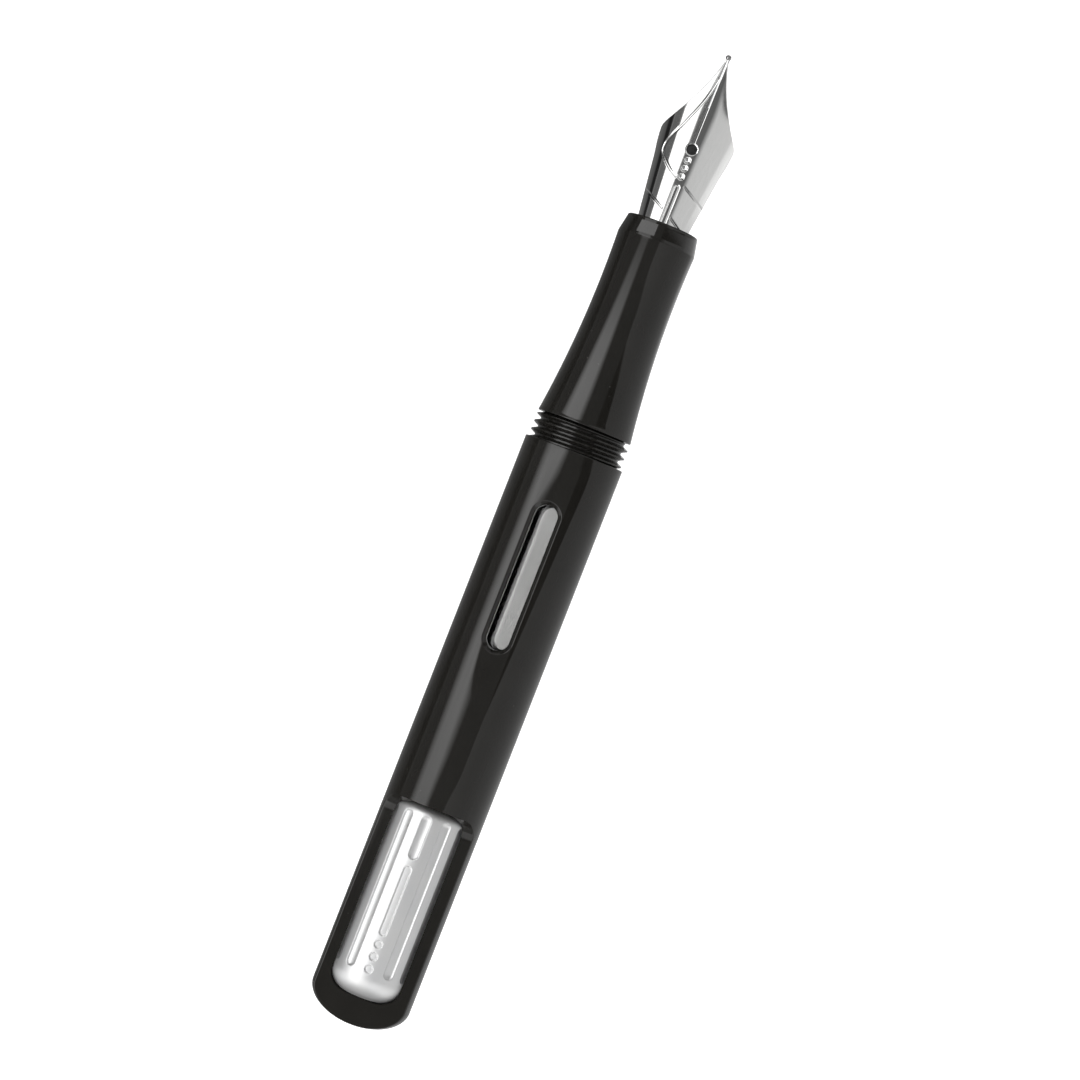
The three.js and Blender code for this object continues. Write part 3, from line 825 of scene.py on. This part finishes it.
def build_collar():
    """Collar round the nib's heel, with the nipple that the converter sits on."""
    outline = [(0.45, 3.0), *arc(1.03, 3.12, 0.12, -90, 0, 4), (1.15, 7.0), *arc(3.75, 7.15, 0.15, -90, 0, 4),
               *arc(3.8, 25.5, 0.1, 0, 90, 4), *arc(3.56, 25.54, 0.06, 90, 180, 3), (3.5, 10.5), (0.45, 10.5)]
    obj = lathe("collar_body", outline, 160, True)
    finish_piece(obj, "nib_collar", "section", FEED_PLASTIC)


CONVERTER_R = 3.2
CONVERTER_BORE = 2.75
OVER_TUBE_R = 3.22   # bore of the mouth and band, which go over the tube


def build_converter_mouth():
    outline = [(OVER_TUBE_R, -1.0), *arc(3.42, -0.92, 0.08, -90, 0, 3), *arc(3.3, 6.4, 0.2, 0, 90, 5),
               (1.2, 6.6), (1.2, 3.5), (OVER_TUBE_R, 3.5)]
    obj = lathe("converter_socket", outline, 160, True)
    finish_piece(obj, "converter_mouth", "converter", BLACK_PLASTIC)


def build_converter_tube():
    outline = [(CONVERTER_BORE, -34), (CONVERTER_R, -34), (CONVERTER_R, 3.45), (CONVERTER_BORE, 3.45)]
    obj = lathe("converter_glass", outline, 192, True)
    finish_piece(obj, "converter_tube", "converter", CLEAR_PLASTIC)


def build_converter_band():
    outline = [(OVER_TUBE_R, -37.2), *arc(3.48, -37.08, 0.12, -90, 0, 4), (3.6, -35.9), (3.52, -35.82),
               (3.52, -35.58), (3.6, -35.5), *arc(3.48, -30.72, 0.12, 0, 90, 4), (OVER_TUBE_R, -30.6)]
    obj = lathe("converter_collar", outline, 160, True)
    finish_piece(obj, "converter_band", "converter", BRIGHT_METAL)


def build_converter_guide():
    outline = [(1.35, -37.1), (CONVERTER_R, -37.1), (CONVERTER_R, -34.05), (1.35, -34.05)]
    obj = lathe("rod_guide", outline, 128, True)
    finish_piece(obj, "converter_guide", "converter", BLACK_PLASTIC)


def build_piston_seal():
    outline = [(1.3, -33.0), *arc(2.62, -32.9, 0.1, -90, 0, 3), (2.72, -32.35), (2.42, -32.0), (2.42, -31.35),
               (2.72, -31.0), *arc(2.62, -30.5, 0.1, 0, 90, 3), (1.3, -30.4)]
    obj = lathe("piston_washer", outline, 128, True)
    finish_piece(obj, "piston_seal", "piston", SEAL_RUBBER)


def build_piston_rod():
    outline = [(0.8, -43.6), (1.28, -43.6), (1.28, -30.35), (1.23, -30.3), (0, -30.3), (0, -31.3),
               (0.8, -31.3)]
    obj = lathe("piston_stem", outline, 96, True)
    finish_piece(obj, "piston_rod", "piston", BLACK_PLASTIC)


SPINDLE_R = 0.52
SPINDLE_PITCH = 1.6
SPINDLE_STEPS = 130


def spindle_thread(ang, r, z):
    lift = np.clip((0.5 - from_crest(ang, z, SPINDLE_PITCH, SPINDLE_PITCH / 2)) / 0.35, 0, 1)
    lift = lift * np.clip((z + 43.4) / 0.4, 0, 1) * np.clip((-34.2 - z) / 0.4, 0, 1)
    return np.where(np.abs(r - SPINDLE_R) < 1e-6, SPINDLE_R + 0.2 * lift, r)


def build_spindle():
    side = [(SPINDLE_R, -44.15 + 10.5 * k / SPINDLE_STEPS) for k in range(SPINDLE_STEPS + 1)]
    outline = [(0, -44.2), (0.519, -44.2), *side, (0.519, -33.6), (0, -33.6)]
    obj = lathe("knob_screw", outline, 48, False, 45, spindle_thread)
    finish_piece(obj, "spindle", "knob", BLACK_PLASTIC)


KNOB_R = 3.4
KNOB_STEPS = 64
FLUTES = 12
FLUTE_DEPTH = 0.2


def knob_flutes(ang, r, z):
    """Narrow flutes round the knob, running out toward both ends."""
    wave = np.abs(np.cos(FLUTES / 2 * ang)) ** 10
    inside = (r > KNOB_R - 0.01) & (z < -38.8) & (z > -43.8)
    fade = np.clip((z + 43.8) / 0.4, 0, 1) * np.clip((-38.8 - z) / 0.4, 0, 1)
    return np.where(inside, r - FLUTE_DEPTH * wave * fade, r)


def build_knob():
    side = [(KNOB_R, -44.2 + 6.4 * k / KNOB_STEPS) for k in range(KNOB_STEPS + 1)]
    outline = [(0, -45.0), *arc(3.1, -44.7, 0.3, -90, 0, 6), *side, *arc(3.1, -37.6, 0.3, 0, 90, 5),
               (1.6, -37.3), (1.6, -44.2), (0, -44.2)]
    obj = lathe("knob_body", outline, 240, False, 40, knob_flutes)
    finish_piece(obj, "converter_knob", "knob", BLACK_PLASTIC)


def build_ball():
    """Agitator ball, lying on the bottom of the tube's bore."""
    obj = sphere("ink_ball", 0, 1.25 - CONVERTER_BORE + 0.02, 0.4, 1.24)
    finish_piece(obj, "agitator_ball", "ball", BRIGHT_METAL)


def build_studs():
    for node, z in (("inlay_stud_front", -54.5), ("inlay_stud_rear", -69.5)):
        obj = post(0.8, 0, z, -1.1, 1.8)
        obj.name = node + "_pin"
        finish_piece(obj, node, "barrel", SATIN_SILVER)


build_barrel()
build_inlay()
build_section()
build_nib()
build_tipping()
build_feed()
build_window_sleeve()
build_seal_ring()
build_collar()
build_converter_mouth()
build_converter_tube()
build_converter_band()
build_converter_guide()
build_piston_seal()
build_piston_rod()
build_spindle()
build_knob()
build_ball()
build_studs()

# ---- stage: pale floor, a tent of soft light, camera overhead and a little to the picture's right ----
FLOOR_Z = -0.060
FLOOR_HALF = 6.0
TENT_R = 0.2
TENT_STATIONS = (-0.35, -0.12, 0.0, 0.12, 0.35)
TENT_COLS = 180
CAMERA_SIDE = 3.8        # degrees to the picture's right of straight overhead
CAMERA_TURN = -68.57     # degrees about the vertical, which slants the pen across the picture
CAMERA_DISTANCE = 0.449
CAMERA_LENS = 122.8
SENSOR = 36.0
# The light's tables count angles for a camera as far to the left as this one is to the right. What the nib
# mirrors is turned part of the way back.
TENT_TURN = 2 * CAMERA_SIDE
NIB_TURN = 6.0
WORLD_GREY = 0.35


def build_floor():
    mesh = bpy.data.meshes.new("floor")
    corners = [(-1, -1), (1, -1), (1, 1), (-1, 1)]
    mesh.from_pydata([(x * FLOOR_HALF, y * FLOOR_HALF, FLOOR_Z) for x, y in corners], [], [(0, 1, 2, 3)])
    floor = bpy.data.objects.new("floor", mesh)
    bpy.context.scene.collection.objects.link(floor)
    paper = Nodes("floor_paper", Roughness=0.9)
    tones = [(0.3, (0.86, 0.86, 0.86)), (0.7, (0.88, 0.88, 0.88))]
    paper.to(paper.ramp(paper.noise(8, 3), tones), "Base Color")
    paper.bsdf.inputs["Specular IOR Level"].default_value = 0.1
    paper.bsdf.inputs["Emission Color"].default_value = (1, 1, 1, 1)
    paper.bsdf.inputs["Emission Strength"].default_value = 0.6
    mesh.materials.append(paper.mat)
    floor.visible_glossy = False


def tent_light():
    """Light of the studio by place along the pen in millimetres and angle round it in degrees: 0 is overhead
    and positive is to the picture's right."""
    m = Nodes("tent_light", Base_Color=(0, 0, 0, 1), Specular_IOR_Level=0.0)
    split = m.add("ShaderNodeSeparateXYZ")
    m.link(m.coord.outputs["Object"], split.inputs[0])
    x = m.calc("MULTIPLY", split.outputs["X"], 1.0 / MM)
    rightward = m.calc("MULTIPLY", split.outputs["Y"], -1.0)
    true_angle = m.calc("DEGREES", m.calc("ARCTAN2", rightward, split.outputs["Z"]))
    away = m.calc("ABSOLUTE", true_angle)

    def along(stops, top=1.0, where=x):
        return m.table(where, -350, 350, stops, top)

    def blend(mask, first, second):
        """first where mask is 0, second where it is 1."""
        keep = m.calc("MULTIPLY", first, m.calc("SUBTRACT", 1.0, mask))
        return m.calc("ADD", keep, m.calc("MULTIPLY", second, mask))

    # what the nib mirrors lies farther along the tent the nearer it is to overhead
    nib = along([(96, 0), (102, 1), (180, 1), (195, 0)], where=m.calc("MULTIPLY_ADD", away, 0.37, x))
    angle = m.calc("ADD", m.calc("SUBTRACT", true_angle, TENT_TURN), m.calc("MULTIPLY", nib, NIB_TURN))

    def around(stops, top=1.0, where=angle):
        return m.table(where, -180, 180, stops, top)

    # and so does what the grip's front cone mirrors
    tilt = m.calc("RADIANS", m.calc("MULTIPLY_ADD", true_angle, 0.5, CAMERA_SIDE / 2))
    lean = m.calc("SUBTRACT", 1.0, m.calc("COSINE", tilt))
    at = m.calc("MULTIPLY_ADD", lean, 92.0, x)
    cone = along([(135.7, 0), (136.5, 1), (143, 1), (143.8, 0)], where=at)

    # bright strip at the left: soft over the black parts, hard-edged in the nib
    level = along([(-350, 0.8), (-130, 1.0), (-100, 2.2), (-85, 3.0), (-60, 3.2), (-53, 2.0), (-45, 2.15),
                   (-39, 2.25), (-28, 2.44), (13, 2.75), (30, 0.66), (40, 0.66), (44.3, 1.15), (50.5, 1.75),
                   (56.8, 2.4), (63.6, 2.75), (95, 2.4), (200, 1.0)], 4.0)
    thin = along([(-45, 1.2), (-20, 1.0), (20, 1.0), (30, 2.3), (40, 2.3), (44.3, 1.9), (56.6, 1.25),
                  (67, 1.0)], 4.0)
    squeezed = m.calc("MULTIPLY_ADD", m.calc("ADD", angle, 35.0), thin, -35.0)
    soft = around([(-72, 0), (-64, 0.55), (-55, 1), (-26.5, 0.95), (-19, 0.35), (-14, 0)], where=squeezed)
    hard = around([(-63, 0), (-61.5, 1), (-24, 1), (-19.5, 0)])
    strip = blend(nib, m.calc("MULTIPLY", soft, level), m.calc("MULTIPLY", hard, 1.6))

    # dim room behind the strip
    aside = m.calc("MULTIPLY_ADD", nib, -NIB_TURN, angle)
    room = around([(-150, 0.25), (-112, 0.11), (-107, 0.02), (-95, 0.02), (-93, 0.25), (-91, 0.25),
                   (-90, 0.17), (-66, 0.165), (-15, 0.16), (19, 0.16), (20.5, 0.0)], where=aside)
    toward_tail = along([(-75, 0.65), (-60, 1.0)])
    room = m.calc("MULTIPLY", m.calc("MULTIPLY", room, toward_tail), m.calc("MULTIPLY_ADD", nib, -0.25, 1.0))

    # grey panel at the right, whose near edge wanders along the pen
    edge = along([(-90, 14), (-45, 15.8), (-39, 19.3), (-28, 27.5), (12.7, 49.7), (34, 4), (40, 3.5),
                  (44.3, 3.7), (50.5, 15.8), (56.8, 18.1), (63.6, 37), (70.9, 44.5), (74.3, 46.5), (95, 30),
                  (104, 14)], 100.0)
    edge = blend(nib, edge, 18.0)
    fade = m.calc("MULTIPLY_ADD", nib, 6.0, 0.5)
    lit = m.calc("DIVIDE", m.calc("SUBTRACT", angle, edge), fade)
    lit = m.calc("MINIMUM", m.calc("MAXIMUM", m.calc("MULTIPLY_ADD", lit, 0.5, 0.5), 0.0), 1.0)
    panel = around([(3, 0.62), (30, 0.54), (43, 0.50), (56, 0.51), (70, 0.54), (85, 0.58), (102, 0.59),
                    (124, 0.60), (179, 0.5)])
    bright = around([(8, 0.55), (20, 0.60), (88, 0.64), (95, 0.84), (115, 0.96), (179, 0.9)])
    total = m.calc("ADD", blend(lit, room, blend(nib, panel, bright)), strip)

    # what the front cone mirrors
    front = around([(-110, 0.15), (-106, 0.01), (-94, 0.01), (-85, 0.1), (-72.5, 0.1), (-71, 2.8), (-14, 2.8),
                    (-12.5, 0.16), (9, 0.16), (11, 0.0), (80, 0.0), (82, 0.5), (100, 0.6), (124, 0.64)], 3.0)
    total = blend(cone, total, front)

    # beyond the nib's end the studio is dark but for a patch overhead; beyond the tail it is bright
    total = m.calc("MULTIPLY", total, along([(180, 1.0), (200, 0.12)]))
    beyond = along([(-130, 0.95), (-100, 0), (180, 0), (210, 0.9)])
    ahead = along([(0, 0), (1, 1)])
    tail_patch = around([(-130, 0), (-110, 1), (15, 1), (45, 0.55), (110, 0.55), (130, 0)])
    nib_patch = around([(-45, 0), (-30, 1), (30, 1), (45, 0)])
    total = m.calc("ADD", total, m.calc("MULTIPLY", beyond, blend(ahead, tail_patch, nib_patch)))
    m.to(total, "Emission Strength")
    m.bsdf.inputs["Emission Color"].default_value = (1, 1, 1, 1)
    return m.mat


def build_tent():
    turns = [2 * math.pi * k / TENT_COLS for k in range(TENT_COLS)]
    points = [(x, TENT_R * math.sin(v), TENT_R * math.cos(v)) for x in TENT_STATIONS for v in turns]
    mesh = bpy.data.meshes.new("tent")
    mesh.from_pydata(points, [], skin_faces(len(TENT_STATIONS), TENT_COLS))
    tent = bpy.data.objects.new("tent", mesh)
    tent.location = (0, 0, AXIS * MM)
    bpy.context.scene.collection.objects.link(tent)
    mesh.materials.append(tent_light())
    tent.visible_camera = False


def build_world():
    world = bpy.data.worlds.new("studio")
    bpy.context.scene.world = world
    world.use_nodes = True
    grey = (WORLD_GREY, WORLD_GREY, WORLD_GREY, 1)
    world.node_tree.nodes["Background"].inputs["Color"].default_value = grey


def build_camera():
    scene = bpy.context.scene
    scene.view_settings.view_transform = "Standard"
    scene.view_settings.look = "None"
    data = bpy.data.cameras.new("camera")
    data.sensor_width = SENSOR
    data.lens = CAMERA_LENS
    data.clip_start = 0.01
    camera = bpy.data.objects.new("camera", data)
    scene.collection.objects.link(camera)
    side = Matrix.Rotation(math.radians(CAMERA_SIDE), 4, "X")
    turn = side @ Matrix.Rotation(math.radians(CAMERA_TURN), 4, "Z")
    eye = Vector((0, 0, AXIS * MM)) + turn @ Vector((0, 0, CAMERA_DISTANCE))
    camera.matrix_world = Matrix.Translation(eye) @ turn
    scene.camera = camera


build_floor()
build_tent()
build_world()
build_camera()
